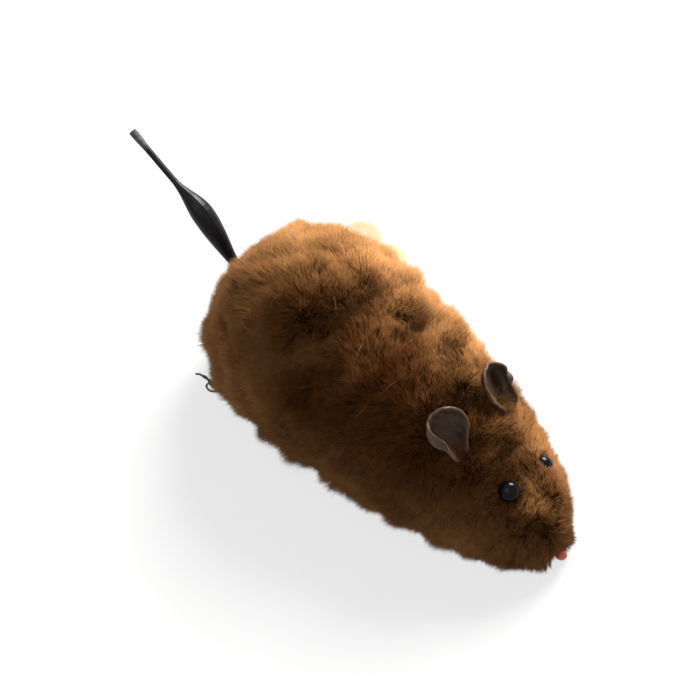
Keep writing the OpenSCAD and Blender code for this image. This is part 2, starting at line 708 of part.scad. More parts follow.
// Tail arbor: its crown gear turns the tail shaft's pinion
crown_r = gear_m * crown_n / 2;
tail_pinion_r = gear_m * tail_pinion_n / 2;
crown_face = 0.8;
crown_play = 0.26;
crown_tip_y = -tail_pinion_r + addendum * gear_m;
crown_root_y = -tail_pinion_r - dedendum * gear_m;
crown_disc_t = 1;
crown_half = PI * gear_m / 4 - crown_play / 2;
module tail_arbor() color("silver") rod([-plate_out + 0.2, plate_out - 0.2], tail_arbor_at, arbor_r);
module tail_arbor_pinion() color("#c9a44a") {
    gear(tail_arbor_n, pinion_y, tail_arbor_at, tail_arbor_phase, arbor_r);
}
module crown_gear() color("#e6dfc8") {
    ring([crown_root_y - crown_disc_t, crown_root_y], tail_arbor_at, crown_r + crown_face / 2, arbor_r);
    slope = tan(flank);
    for (k = [0:crown_n - 1])
        translate([tail_arbor_at.x, 0, tail_arbor_at.y])
            rotate([0, 180 + tail_tilt + (k + 0.5) * 360 / crown_n, 0])
                rotate([0, 90, 0]) translate([0, 0, crown_r - crown_face / 2])
                    linear_extrude(crown_face) polygon([
                        [-crown_half - slope * dedendum * gear_m, crown_root_y - small],
                        [-crown_half + slope * addendum * gear_m, crown_tip_y],
                        [crown_half - slope * addendum * gear_m, crown_tip_y],
                        [crown_half + slope * dedendum * gear_m, crown_root_y - small]
                    ]);
}
tail_pinion_w = 1;
module tail_shaft() color("silver") {
    on_tail_line(crown_r - tail_pinion_w / 2) cylinder(
        h = tail_start + tail_socket - crown_r + tail_pinion_w / 2, r = tail_shaft_r, $fn = 32);
}
module tail_pinion() color("#c9a44a") {
    on_tail_line(crown_r - tail_pinion_w / 2) difference() {
        linear_extrude(tail_pinion_w) gear_outline(tail_pinion_n, 270);
        translate([0, 0, -1]) cylinder(h = tail_pinion_w + 2, r = tail_shaft_r, $fn = 32);
    }
}
module tail() color("#121214") {
    difference() {
        polyhedron(
            [for (i = [0:tail_rings]) each tail_ring(tail_spans * i / tail_rings)],
            concat(
                [for (i = [0:tail_rings - 1]) for (k = [0:tail_sides - 1])
                    let (a = i * tail_sides, b = a + tail_sides, n = (k + 1) % tail_sides)
                    each [[a + k, b + n, b + k], [a + k, a + n, b + n]]],
                [[for (k = [tail_sides - 1:-1:0]) k],
                 [for (k = [0:tail_sides - 1]) tail_rings * tail_sides + k]]
            )
        );
        on_tail_line(tail_start - 1) cylinder(h = tail_socket + 1, r = tail_shaft_r, $fn = 32);
    }
}

module front_roller() color("#2c2c2e") {
    ring([-roller_w / 2, roller_w / 2], [roller_x, roller_r], roller_r, roller_axle_r + run_gap);
}

placed() chassis_plate();
placed() body_shell();
placed() fur_cover();
placed() ear_left();
placed() ear_right();
placed() eye_left();
placed() eye_right();
placed() nose();
placed() thread_tuft();
placed() body_screws();
placed() motor_plate_left();
placed() motor_plate_right();
placed() frame_pillars();
placed() mainspring();
placed() tail_bush();
placed() roller_axle();
placed() great_gear();
placed() click_spring();
placed() winding_arbor();
placed() ratchet_wheel();
placed() key_grip();
placed() second_arbor();
placed() second_gear();
placed() second_pinion();
placed() drive_axle();
placed() drive_pinion();
placed() wheel_left();
placed() wheel_right();
placed() tyre_left();
placed() tyre_right();
placed() tail_arbor();
placed() tail_arbor_pinion();
placed() crown_gear();
placed() tail_shaft();
placed() tail_pinion();
placed() tail();
placed() front_roller();
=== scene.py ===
import math

import bmesh
import bpy
import numpy as np
from mathutils import Matrix, Vector
from mathutils.kdtree import KDTree


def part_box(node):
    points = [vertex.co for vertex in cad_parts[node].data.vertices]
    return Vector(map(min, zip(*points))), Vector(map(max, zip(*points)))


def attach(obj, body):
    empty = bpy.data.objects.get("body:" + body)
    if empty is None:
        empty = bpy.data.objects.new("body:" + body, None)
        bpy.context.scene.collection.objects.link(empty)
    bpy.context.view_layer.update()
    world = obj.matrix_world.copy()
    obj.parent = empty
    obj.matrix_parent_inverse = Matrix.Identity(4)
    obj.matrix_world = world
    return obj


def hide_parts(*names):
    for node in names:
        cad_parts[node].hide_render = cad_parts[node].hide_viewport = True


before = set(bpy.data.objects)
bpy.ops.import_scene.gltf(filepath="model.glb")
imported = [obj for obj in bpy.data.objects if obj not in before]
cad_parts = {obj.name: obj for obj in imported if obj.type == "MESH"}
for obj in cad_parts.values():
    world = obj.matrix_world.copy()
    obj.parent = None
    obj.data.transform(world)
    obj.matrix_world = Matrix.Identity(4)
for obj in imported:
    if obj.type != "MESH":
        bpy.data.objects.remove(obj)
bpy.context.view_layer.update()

MM = 0.001

# ---------------------------------------------------------------- places, from the frame
FUR_LO, FUR_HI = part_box("fur_cover")
KEY_LO, KEY_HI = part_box("key_grip")
END_SHARE = 0.005                      # the cover's end rings stand this share of its length inside
BODY_LEN = (FUR_HI.x - FUR_LO.x) / (1 - 2 * END_SHARE)
REAR_X = FUR_LO.x - END_SHARE * BODY_LEN
HALF_W = (FUR_HI.y - FUR_LO.y) / 2
MID_Y = (FUR_HI.y + FUR_LO.y) / 2
TOP_Z = FUR_HI.z
SKIRT_Z = FUR_LO.z

# ---------------------------------------------------------------- sizes of the body and its pile
ENVELOPE_Z = 1.5 * MM                  # the floor of the rounded body, above which its section swells
PILE = 5.5 * MM                        # how long the pile is
PEAK = 0.3                             # where the body is fullest, as a share of its length from the rear
WIDTH_POWERS = (2.5, 0.4, 1.7, 0.5)    # how it narrows to the rear (two powers) and to the nose (two more)
HEIGHT_POWERS = (2.2, 0.32, 1.2, 0.5)  # and how it lowers
SECTION_POWER = 0.8                    # 1 would make an ellipse, less is squarer
BELLY_SHARE = 0.2                      # where the section is widest, as a share of its height
BELLY_PINCH = 0.16                     # how far the skirt draws in at its lower edge
BELLY_PART = 0.12                      # the share of the way round that each side of the skirt takes up


def datum(x, y, z):
    """A place counted in millimetres from the floor under the body's rear end, in the row frame."""
    return np.array([REAR_X + x * MM, MID_Y + y * MM, z * MM])


# ---------------------------------------------------------------- the body's envelope
def fullness(u, rear_inner, rear_outer, head_inner, head_outer):
    """One at the body's fullest section, and falling to nothing at its two ends."""
    rear = np.clip((PEAK - u) / PEAK, 0, 1)
    head = np.clip((u - PEAK) / (1 - PEAK), 0, 1)
    return (1 - rear**rear_inner) ** rear_outer * (1 - head**head_inner) ** head_outer


def envelope(u, t, inset, low=SKIRT_Z):
    """Points on the body's surface: u along it, t round the section from the left edge over the back."""
    u, t = np.broadcast_arrays(np.asarray(u, float), np.asarray(t, float))
    half = (HALF_W - inset) * fullness(u, *WIDTH_POWERS)
    rise = (TOP_Z - ENVELOPE_Z - inset) * fullness(u, *HEIGHT_POWERS)
    belly = ENVELOPE_Z + BELLY_SHARE * rise
    angle = np.pi * np.clip((t - BELLY_PART) / (1 - 2 * BELLY_PART), 0, 1)
    cosine, sine = np.cos(angle), np.sin(angle)
    fall = np.clip(1 - np.minimum(t, 1 - t) / BELLY_PART, 0, 1)
    side = np.sign(cosine) * np.abs(cosine) ** SECTION_POWER * (1 - BELLY_PINCH * fall**2)
    up = belly - fall * (belly - low) + (ENVELOPE_Z + rise - belly) * np.abs(sine) ** SECTION_POWER
    x = REAR_X + inset + u * (BODY_LEN - 2 * inset)
    return np.stack([x, MID_Y + half * side, up], -1)


def stations(n):
    """Shares of the body's length, closer together towards its two ends."""
    return END_SHARE + (1 - 2 * END_SHARE) * (1 - np.cos(np.linspace(0, np.pi, n))) / 2


def grid_faces(rows, cols, closed=False):
    """Four-sided faces over rows of points; a closed grid joins the last column to the first."""
    faces = []
    for i in range(rows - 1):
        for j in range(cols if closed else cols - 1):
            k = (j + 1) % cols
            faces.append((i * cols + j, i * cols + k, (i + 1) * cols + k, (i + 1) * cols + j))
    return faces


# ---------------------------------------------------------------- smooth noise over space
class Noise:
    """Smooth noise from random plane waves about one wavelength long."""

    WAVES = 28

    def __init__(self, wavelength, channels, seed):
        r = np.random.default_rng(seed)
        k = r.normal(size=(channels, self.WAVES, 3))
        k /= np.linalg.norm(k, axis=-1, keepdims=True)
        self.k = k * (2 * np.pi / wavelength) * r.uniform(0.6, 1.4, (channels, self.WAVES, 1))
        self.phase = r.uniform(0, 2 * np.pi, (channels, self.WAVES))
        self.scale = math.sqrt(2 / self.WAVES)

    def __call__(self, p):
        out = [np.cos(p @ k.T + f).sum(-1) * self.scale for k, f in zip(self.k, self.phase)]
        return np.stack(out, -1)


def unit(v):
    """The same directions, one long."""
    return v / np.maximum(np.linalg.norm(v, axis=-1, keepdims=True), 1e-12)


# ---------------------------------------------------------------- making objects
def new_object(name, verts, faces, smooth=True):
    """An object from lists of points and faces."""
    mesh = bpy.data.meshes.new(name)
    mesh.from_pydata([tuple(map(float, v)) for v in verts], [], faces)
    mesh.validate()
    mesh.update()
    if smooth:
        mesh.polygons.foreach_set("use_smooth", [True] * len(mesh.polygons))
    o = bpy.data.objects.new(name, mesh)
    bpy.context.scene.collection.objects.link(o)
    return o


def fast_mesh(name, verts, tris):
    """A triangle mesh straight from arrays, smooth shaded."""
    mesh = bpy.data.meshes.new(name)
    mesh.vertices.add(len(verts))
    mesh.vertices.foreach_set("co", verts.astype(np.float32).ravel())
    mesh.loops.add(tris.size)
    mesh.loops.foreach_set("vertex_index", tris.astype(np.int32).ravel())
    mesh.polygons.add(len(tris))
    mesh.polygons.foreach_set("loop_start", np.arange(0, tris.size, 3, dtype=np.int32))
    mesh.polygons.foreach_set("loop_total", np.full(len(tris), 3, np.int32))
    mesh.polygons.foreach_set("use_smooth", np.ones(len(tris), bool))
    mesh.update(calc_edges=True)
    o = bpy.data.objects.new(name, mesh)
    bpy.context.scene.collection.objects.link(o)
    return o


# ---------------------------------------------------------------- materials
class Paint:
    """A small helper round one Principled material's node tree."""

    def __init__(self, name, roughness=0.5, **sockets):
        self.mat = bpy.data.materials.new(name)
        self.mat.use_nodes = True
        self.nt = self.mat.node_tree
        self.shader = self.nt.nodes["Principled BSDF"]
        self.shader.inputs["Roughness"].default_value = roughness
        for key, value in sockets.items():
            self.shader.inputs[key.replace("_", " ")].default_value = value
        self.place = self.nt.nodes.new("ShaderNodeTexCoord").outputs["Object"]

    def link(self, a, b):
        self.nt.links.new(a, b)

    def noise(self, scale, detail=3.0, roughness=0.5):
        n = self.nt.nodes.new("ShaderNodeTexNoise")
        n.inputs["Scale"].default_value = scale
        n.inputs["Detail"].default_value = detail
        n.inputs["Roughness"].default_value = roughness
        self.link(self.place, n.inputs["Vector"])
        return n.outputs["Fac"]

    def cells(self, scale):
        n = self.nt.nodes.new("ShaderNodeTexVoronoi")
        n.inputs["Scale"].default_value = scale
        self.link(self.place, n.inputs["Vector"])
        return n.outputs["Distance"]

    def ramp(self, source, *stops):
        """Each stop is a place from 0 to 1 with its colour, or with one number for a plain value."""
        n = self.nt.nodes.new("ShaderNodeValToRGB")
        while len(n.color_ramp.elements) < len(stops):
            n.color_ramp.elements.new(0.5)
        for e, (at, colour) in zip(n.color_ramp.elements, stops):
            e.position = at
            e.color = (*colour, 1) if hasattr(colour, "__len__") else (colour, colour, colour, 1)
        self.link(source, n.inputs["Fac"])
        return n.outputs["Color"]

    def mix(self, factor, a, b, blend="MIX"):
        """Two colours mixed; each of the three may be a socket or a value."""
        n = self.nt.nodes.new("ShaderNodeMix")
        n.data_type = "RGBA"
        n.blend_type = blend
        for value, socket in ((factor, n.inputs[0]), (a, n.inputs[6]), (b, n.inputs[7])):
            if hasattr(value, "node"):
                self.link(value, socket)
            else:
                socket.default_value = value if not hasattr(value, "__len__") else (*value, 1)
        return n.outputs[2]

    def attribute(self, name):
        n = self.nt.nodes.new("ShaderNodeAttribute")
        n.attribute_name = name
        return n.outputs["Fac"]

    def colour(self, socket):
        self.link(socket, self.shader.inputs["Base Color"])
        return self

    def rough(self, source, low, high):
        """Roughness between two values, as the source goes from its darker to its lighter parts."""
        self.link(self.ramp(source, (0.3, low), (0.7, high)), self.shader.inputs["Roughness"])
        return self

    def bump(self, source, distance, strength=1.0):
        n = self.nt.nodes.new("ShaderNodeBump")
        n.inputs["Distance"].default_value = distance
        n.inputs["Strength"].default_value = strength
        self.link(source, n.inputs["Height"])
        if self.shader.inputs["Normal"].is_linked:
            self.link(self.shader.inputs["Normal"].links[0].from_socket, n.inputs["Normal"])
        self.link(n.outputs["Normal"], self.shader.inputs["Normal"])
        return self


def srgb(*rgb):
    """A colour as it looks, in 0 to 255, turned to the linear numbers that a shader takes."""
    return tuple(((c / 255 + 0.055) / 1.055) ** 2.4 if c > 10 else c / 255 / 12.92 for c in rgb)


def wear(o, paint):
    """Gives the object one material."""
    o.data.materials.clear()
    o.data.materials.append(paint.mat)


# ---------------------------------------------------------------- fur
FUR_ROOT_BODY = 5.0 * MM               # how far the pile's roots lie under its tips, on the body
FUR_ROOT_SNOUT = 3.2 * MM              # and on the snout
ROOT_TURNS_FROM, ROOT_TURNS_OVER = 0.6, 0.35   # where the one turns into the other, as shares of the length
STRANDS = 260000
STRANDS_A_PIECE = 21000
STRAND_WIDTH = (0.12, 0.19)            # across a strand at its root, in millimetres
STRAND_LENGTH = (0.82, 1.1)            # of the pile's length, the shortest and the longest strand
SHORTER_ON_HEAD = 0.42                 # how much of the pile's length is gone at the nose
HEAD_FROM, HEAD_OVER = 0.55, 0.4       # where that begins and how far it takes, as shares of the length
CLUMP_SPACING = 1.7 * MM
CLUMP_FIELD = 11500                    # the area that clumps are counted for, in square millimetres
CLUMP_PULL = (0.1, 0.5)                # how far strands go towards the tip that they share
LONGEST_LEAN = 1.35
LONGEST_PILE, LONGEST_CLUMP = 1.12, 1.1   # as shares of PILE
TO_TIP, TO_MIDDLE = 0.75, 0.25         # how much of the pull a strand's tip and its middle follow
LEAN_JITTER, CLUMP_JITTER = 0.2, 0.3
LENGTH_PATCHES = 0.1                   # how much the pile's length changes from patch to patch
TONE_PATCHES, TONE_JITTER = 0.16, 0.08   # how much its tone does, and from strand to strand
SHADE_JITTER, CLUMP_SHADE = 0.25, 0.12   # and its shade, from strand to strand and from clump to clump
FLOOR_GAP = 0.25 * MM
FLOOR_SPREAD = 0.4 * MM                # strands that touch the floor end between the gap and this much more
SKIRT_LIFT = 0.5 * MM                  # the cloth's lower edge over the cover's
SKIN_ROWS = 160
BODY_CORE = datum(40, 0, 12)           # a place well inside the body, which tells outward from inward


def root_inset(u):
    """How far the skin that the pile grows from lies under the tips of the pile."""
    turned = np.clip((u - ROOT_TURNS_FROM) / ROOT_TURNS_OVER, 0, 1)
    return FUR_ROOT_BODY + (FUR_ROOT_SNOUT - FUR_ROOT_BODY) * turned


def skin_grid(n_long, n_round, deeper=0.0):
    """The skin as rows of points, or a layer that lies some way deeper."""
    u = stations(n_long)[:, None]
    t = np.linspace(0, 1, n_round)[None, :]
    return envelope(u, t, root_inset(u) + deeper, SKIRT_Z + SKIRT_LIFT)


def skin_triangles():
    """The skin's points and triangles, with its two blunt ends closed by a fan from the middle of each."""
    g = skin_grid(SKIN_ROWS, SKIN_ROWS).reshape(-1, 3)
    quads = np.array(grid_faces(SKIN_ROWS, SKIN_ROWS))
    first = np.arange(SKIN_ROWS)
    fans = []
    for middle, ring in ((len(g), first), (len(g) + 1, first + (SKIN_ROWS - 1) * SKIN_ROWS)):
        fans.append(np.stack([np.full(SKIN_ROWS - 1, middle), ring[1:], ring[:-1]], -1))
        g = np.concatenate([g, g[ring].mean(0)[None]])
    return g, np.concatenate([quads[:, [0, 1, 2]], quads[:, [0, 2, 3]], *fans])


def skin_samples(count, r):
    """Random places on the skin, with their outward normals."""
    g, tris = skin_triangles()
    a, b, c = g[tris[:, 0]], g[tris[:, 1]], g[tris[:, 2]]
    normal = np.cross(b - a, c - a)
    area = np.linalg.norm(normal, axis=1)
    pick = np.searchsorted(np.cumsum(area) / area.sum(), r.random(count)).clip(0, len(tris) - 1)
    s, q = np.sqrt(r.random(count))[:, None], r.random(count)[:, None]
    p = (1 - s) * a[pick] + s * (1 - q) * b[pick] + s * q * c[pick]
    # Vertex normals, so that they turn smoothly from face to face
    normal *= np.sign(((a + b + c - 3 * BODY_CORE) * normal).sum(-1, keepdims=True))
    vn = np.zeros_like(g)
    for k in range(3):
        np.add.at(vn, tris[:, k], normal)
    vn = unit(vn)
    n = unit((1 - s) * vn[tris[pick, 0]] + s * (1 - q) * vn[tris[pick, 1]] + s * q * vn[tris[pick, 2]])
    return p, n


lean_noise = Noise(26 * MM, 3, 11)
swirl_noise = Noise(9 * MM, 3, 12)
length_noise = Noise(7 * MM, 1, 13)
patch_noise = Noise(17 * MM, 1, 14)

NAP = np.array([-0.42, 0.0, -0.12])    # how the pile leans on the whole, for each unit that it stands
SKIRT_NAP = np.array([-0.25, 0, -1.0])
SKIRT_BAND = 9 * MM                    # how far above the skirt's edge the pile starts to hang down
LEAN_SHARE, SWIRL_SHARE = 0.3, 0.22


def comb(p, n):
    """The way the pile leans at each place: rearwards and down, with swirls."""
    flow = NAP + LEAN_SHARE * lean_noise(p) + SWIRL_SHARE * swirl_noise(p)
    low = np.clip(1 - (p[:, 2] - SKIRT_Z) / SKIRT_BAND, 0, 1)[:, None]
    flow = flow * (1 - low) + low * SKIRT_NAP
    return flow - (flow * n).sum(-1, keepdims=True) * n


KEY_STEM = np.array([(KEY_LO.x + KEY_HI.x) / 2, KEY_LO.y, (KEY_LO.z + KEY_HI.z) / 2])
# Where the pile makes room: a place, the way out of the body, the reach at which half of the push is left
OPENINGS = {
    "key": (KEY_STEM, np.array([0, 1.0, 0]), 7.5 * MM),
    "tail": (datum(-1.2, 0, 21.6), np.array([-0.72, 0, 0.69]), 4.2 * MM),
    "right eye": (datum(86.4, -4.6, 21), unit(np.array([0.45, -0.25, 0.85])), 2.5 * MM),
    "left eye": (datum(86.4, 7.6, 17.4), unit(np.array([0.45, 0.6, 0.65])), 1.3 * MM),
    "nose": (datum(99, 0, 3.4), np.array([1.0, 0, 0]), 1.6 * MM),
}
OPENING_DEPTH = 14 * MM                # pile that grows deeper than this, on the far side, stays as it is
PUSH_ASIDE = 2.2
SHORTER_THERE = 0.45


def part_for_openings(p, lean):
    """Pushes the pile aside at the openings, and says what share of its length is left there."""
    keep = np.ones(len(p))
    for centre, axis, reach in OPENINGS.values():
        off = p - centre
        off = off - (off @ axis)[:, None] * axis
        near = np.linalg.norm(off, axis=1)
        same_side = ((p - centre) @ axis > -OPENING_DEPTH)
        near_share = np.where(same_side, np.clip(1 - near / (2 * reach), 0, 1), 0)
        lean = lean + PUSH_ASIDE * near_share[:, None] * unit(off)
        keep *= 1 - SHORTER_THERE * near_share
    return lean, keep


PLAIN_TONE = 0.42
# Where the pile is painted paler (+) or darker (-), partly its own tone but mostly painted light along the
# far side, the top, the near rear and the near lower edge (light off the floor), and painted shade over the
# near side's middle and the head's top. Each spot: the place as datum() takes it, the reach in millimetres,
# how much
TONE_AND_PAINTED_LIGHT_SPOTS = [
    ((34, 16, 35), 17, 0.66), ((60, 13, 30), 13, 0.66), ((8, 8, 36), 15, 0.44), ((16, 7, 42), 10, 0.42),
    ((5, -10, 24), 15, 0.62), ((12, -21, 10), 13, 0.6), ((29, -3, 43), 8, -0.32), ((50, -7, 37), 17, -0.36),
    ((66, -13, 26), 15, -0.34), ((44, -17, 24), 13, -0.26), ((84, 6, 24), 12, -0.5), ((95, 6, 12), 9, 0.1),
    ((50, -22, 3), 12, 0.55), ((78, -17, 3), 12, 0.5), ((30, -23, 5), 13, 0.5), ((90, -9, 12), 9, 0.34),
]


def pile_tone_and_painted_light(p):
    """From 0 for the dark, shaded colours of the pile to 1 for the pale, lit ones: mostly painted light and
    shade, partly the pile's own tone.
    """
    tone = np.full(len(p), PLAIN_TONE)
    for place, reach, amount in TONE_AND_PAINTED_LIGHT_SPOTS:
        gap = np.linalg.norm(p - datum(*place), axis=1) / (reach * MM)
        tone += amount * np.exp(-(gap**2))
    return tone


ROOT_LEAN = 0.35                       # how much of the lean a strand's lower half follows
TIP_RISE, TIP_LEAN = 0.75, 0.95        # how far its upper half goes outward, and along with the lean


def strand_tips(p, n, lean, length):
    """The middle and the tip of each strand, which rises along the normal and bends over with the nap."""
    mid = p + length[:, None] * 0.5 * unit(n + ROOT_LEAN * lean)
    tip = mid + length[:, None] * 0.5 * unit(n * TIP_RISE + TIP_LEAN * lean)
    return mid, tip


SPIKE_POINTS = 7
SPIKE_NARROWS = 0.85                   # a strand's width at its middle, as a share of that at its root
SPIKE_ALONG = [0, 0, 0, 0.55, 0.55, 0.55, 1.0]   # how far along the strand each of its points counts


def spikes(p, mid, tip, width, r):
    """A three-sided tapered spike for every strand: seven points and nine triangles."""
    count = len(p)
    axis = unit(tip - p)
    side = unit(np.cross(axis, unit(r.normal(size=(count, 3)))))
    other = np.cross(axis, side)
    rings = []
    for centre, w in ((p, width), (mid, width * SPIKE_NARROWS)):
        for k in range(3):
            a = 2 * np.pi * k / 3
            rings.append(centre + w[:, None] * (math.cos(a) * side + math.sin(a) * other))
    verts = np.stack([*rings, tip], 1).reshape(-1, 3)
    one = []
    for k in range(3):
        j = (k + 1) % 3
        one += [(k, j, 3 + j), (k, 3 + j, 3 + k), (3 + k, 3 + j, 6)]
    tris = (np.arange(count)[:, None, None] * SPIKE_POINTS + np.array(one)[None]).reshape(-1, 3)
    return verts, tris


def set_attribute(o, name, values):
    """One number for each point of a mesh, for its material to read."""
    a = o.data.attributes.new(name, "FLOAT", "POINT")
    a.data.foreach_set("value", np.asarray(values, np.float32))


def bake_map(o, count):
    """A map with one small cell for each strand, side by side, root at the bottom."""
    side = math.ceil(math.sqrt(count))
    cell = np.arange(count)
    cx, cy = cell % side, cell // side
    inner = np.array([[x, y] for y in (0.1, 0.55) for x in (0.15, 0.5, 0.85)] + [[0.5, 0.9]])
    uv = (np.stack([cx, cy], -1)[:, None, :] + inner[None]) / side
    layer = o.data.uv_layers.new(name="OFBake")
    loops = np.empty(len(o.data.loops), np.int32)
    o.data.loops.foreach_get("vertex_index", loops)
    layer.uv.foreach_set("vector", uv.reshape(-1, 2)[loops].astype(np.float32).ravel())


LIGHT_THROUGH = 0.28                   # the share of the pile's light that comes through its strands


def fur_paint():
    """Brown pile, darkened at its roots as painted shade deep in the pile and pale at its tips, partly as
    painted rim light, in two colourings, a darker shaded one and a paler lit one, that the tone and painted
    light pick from.
    """
    f = Paint("plush_pile", roughness=0.6, Specular_IOR_Level=0.1)
    along, shade, tone_and_painted_light = f.attribute("along"), f.attribute("shade"), f.attribute("tone_and_painted_light")
    # Painted shade: the roots are darkened where the pile shades itself; the paler colouring's tips carry
    # painted rim light
    dark = f.ramp(along, (0.0, srgb(10, 5, 1)), (0.5, srgb(52, 25, 6)), (1.0, srgb(122, 72, 26)))
    light = f.ramp(along, (0.0, srgb(40, 21, 8)), (0.5, srgb(132, 82, 38)), (1.0, srgb(208, 154, 96)))
    both = f.mix(tone_and_painted_light, dark, light)
    speck = f.ramp(f.noise(900, 2), (0.3, 0.82), (0.7, 1.12))
    tinted = f.mix(1.0, both, speck, "MULTIPLY")
    f.colour(f.mix(1.0, tinted, f.ramp(shade, (0.0, 0.72), (1.0, 1.2)), "MULTIPLY"))
    glow = f.nt.nodes.new("ShaderNodeBsdfTranslucent")
    f.link(f.shader.inputs["Base Color"].links[0].from_socket, glow.inputs["Color"])
    mixer = f.nt.nodes.new("ShaderNodeMixShader")
    mixer.inputs[0].default_value = LIGHT_THROUGH
    f.link(f.shader.outputs[0], mixer.inputs[1])
    f.link(glow.outputs[0], mixer.inputs[2])
    f.link(mixer.outputs[0], f.nt.nodes["Material Output"].inputs["Surface"])
    return f


def along_body(p):
    """Each point's distance from the rear, as a share of the body's length."""
    return (p[:, 0] - REAR_X) / BODY_LEN


def pile_length(u, longest):
    """The pile's length, which is shorter towards the nose; longest is a share of PILE."""
    return PILE * (longest - SHORTER_ON_HEAD * np.clip((u - HEAD_FROM) / HEAD_OVER, 0, 1))


def nearest(places, p):
    """Which of the places is nearest to each point."""
    tree = KDTree(len(places))
    for i, place in enumerate(places):
        tree.insert(place, i)
    tree.balance()
    return np.array([tree.find(Vector(q))[1] for q in p])


def limit_lean(lean, n):
    """The lean along the skin alone, and no more than the longest."""
    lean = lean - (lean * n).sum(-1, keepdims=True) * n
    size = np.linalg.norm(lean, axis=1, keepdims=True)
    return lean * np.minimum(1, LONGEST_LEAN / np.maximum(size, 1e-9))


def keep_off_floor(mid, tip, r):
    """Lifts the strands that would dip into the floor."""
    floor_z = FLOOR_GAP + FLOOR_SPREAD * r.random(len(tip))
    tip[:, 2] = np.maximum(tip[:, 2], floor_z)
    mid[:, 2] = np.maximum(mid[:, 2], floor_z + FLOOR_SPREAD / 2)


def make_fur():
    """The pile as strands in clumps, cut along the body into pieces of so many strands."""
    r = np.random.default_rng(21)
    paint = fur_paint()
    count = STRANDS
    p, n = skin_samples(count, r)
    clump_count = int(CLUMP_FIELD / (CLUMP_SPACING / MM) ** 2)
    cp, cn = skin_samples(clump_count, np.random.default_rng(22))
    clump_lean = comb(cp, cn) + CLUMP_JITTER * r.normal(size=cp.shape)
    lean = limit_lean(comb(p, n) + LEAN_JITTER * r.normal(size=p.shape), n)
    lean, keep = part_for_openings(p, lean)
    u = along_body(p)
    length = pile_length(u, LONGEST_PILE) * keep * (1 + LENGTH_PATCHES * length_noise(p)[:, 0])
    length = length * r.uniform(*STRAND_LENGTH, count)
    mid, tip = strand_tips(p, n, lean, length)
    # Strands of a clump draw together towards a shared tip
    mine = nearest(cp, p)
    clump_pile = pile_length(along_body(cp), LONGEST_CLUMP)
    _, clump_tip = strand_tips(cp, cn, clump_lean, clump_pile)
    pull = (r.uniform(*CLUMP_PULL, count) * keep**2)[:, None]
    offset = (clump_tip - cp)[mine] * (length / clump_pile[mine])[:, None]
    tip = tip + pull * TO_TIP * (cp[mine] + offset - tip)
    mid = mid + pull * TO_MIDDLE * (cp[mine] + 0.5 * offset - mid)
    keep_off_floor(mid, tip, r)
    width = 0.5 * r.uniform(*STRAND_WIDTH, count) * MM * 1.0
    # Which colouring each strand takes: painted light and shade from the spots, with the pile's own patchy
    # tone and a jitter from strand to strand
    tone_and_painted_light = pile_tone_and_painted_light(p) + TONE_PATCHES * patch_noise(p)[:, 0] + TONE_JITTER * r.normal(size=count)
    shade = 0.5 + SHADE_JITTER * r.normal(size=count) + CLUMP_SHADE * r.normal(size=clump_count)[mine]
    tone_and_painted_light, shade = np.clip(tone_and_painted_light, 0, 1), np.clip(shade, 0, 1)
    order = np.argsort(u, kind="stable")
    for k, start in enumerate(range(0, count, STRANDS_A_PIECE)):
        sel = order[start:start + STRANDS_A_PIECE]
        verts, tris = spikes(p[sel], mid[sel], tip[sel], width[sel], r)
        o = fast_mesh(f"plush_pile_{k + 1}", verts, tris)
        set_attribute(o, "along", np.tile(SPIKE_ALONG, len(sel)))
        set_attribute(o, "shade", np.repeat(shade[sel], SPIKE_POINTS))
        set_attribute(o, "tone_and_painted_light", np.repeat(tone_and_painted_light[sel], SPIKE_POINTS))
        bake_map(o, len(sel))
        wear(o, paint)
        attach(o, "chassis")
        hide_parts("fur_cover")


STRAY_HAIRS = 150
STRAY_LOWEST = 9 * MM                  # none grows lower than this, or nearer to the nose than the next
STRAY_FURTHEST = REAR_X + 66 * MM
STRAY_POINTS = 7
STRAY_R = 0.055 * MM
STRAY_CURL = 0.35
STRAY_RISE = 5.2                       # how high they arch over the skin, in millimetres


def make_strays():
    """A few long loose hairs that lie over the pile."""
    r = np.random.default_rng(31)
    p, n = skin_samples(STRAY_HAIRS, r)
    f = Paint("stray_hair", roughness=0.45)
    f.colour(f.ramp(f.noise(300), (0.3, srgb(118, 82, 52)), (0.7, srgb(176, 136, 98))))
    verts, faces = [], []
    for q, m in zip(p, n):
        if q[2] < STRAY_LOWEST or q[0] > STRAY_FURTHEST:
            continue
        way = r.normal(size=3) + 0.5 * NAP
        way = unit(way - (way @ m) * m)
        turn = unit(np.cross(m, way)) * r.normal() * STRAY_CURL
        reach = r.uniform(5, 9) * MM
        s = np.linspace(0, 1, STRAY_POINTS)[:, None]
        rise = (STRAY_RISE + r.uniform(-0.3, 1.1)) * MM
        lift = rise * np.sin(np.pi * (0.28 + 0.5 * s)) * (0.35 + 0.65 * s**0.4)
        line = q + s * reach * way + s**2 * reach * turn + lift * m
        v, g = tube(line, STRAY_R * np.linspace(1, 0.4, STRAY_POINTS), 4)
        faces += [tuple(len(verts) + i for i in face) for face in g]
        verts += v
    o = new_object("plush_strays", verts, faces)
    wear(o, f)
    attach(o, "chassis")
    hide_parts("fur_cover")


def backing_paint():
    f = Paint("plush_backing", roughness=0.85, Sheen_Weight=0.2)
    f.colour(f.ramp(f.noise(700), (0.3, srgb(26, 14, 8)), (0.7, srgb(56, 33, 18))))
    return f.bump(f.noise(2500, 2), 0.0002, 0.6)


CLOTH = 0.5 * MM


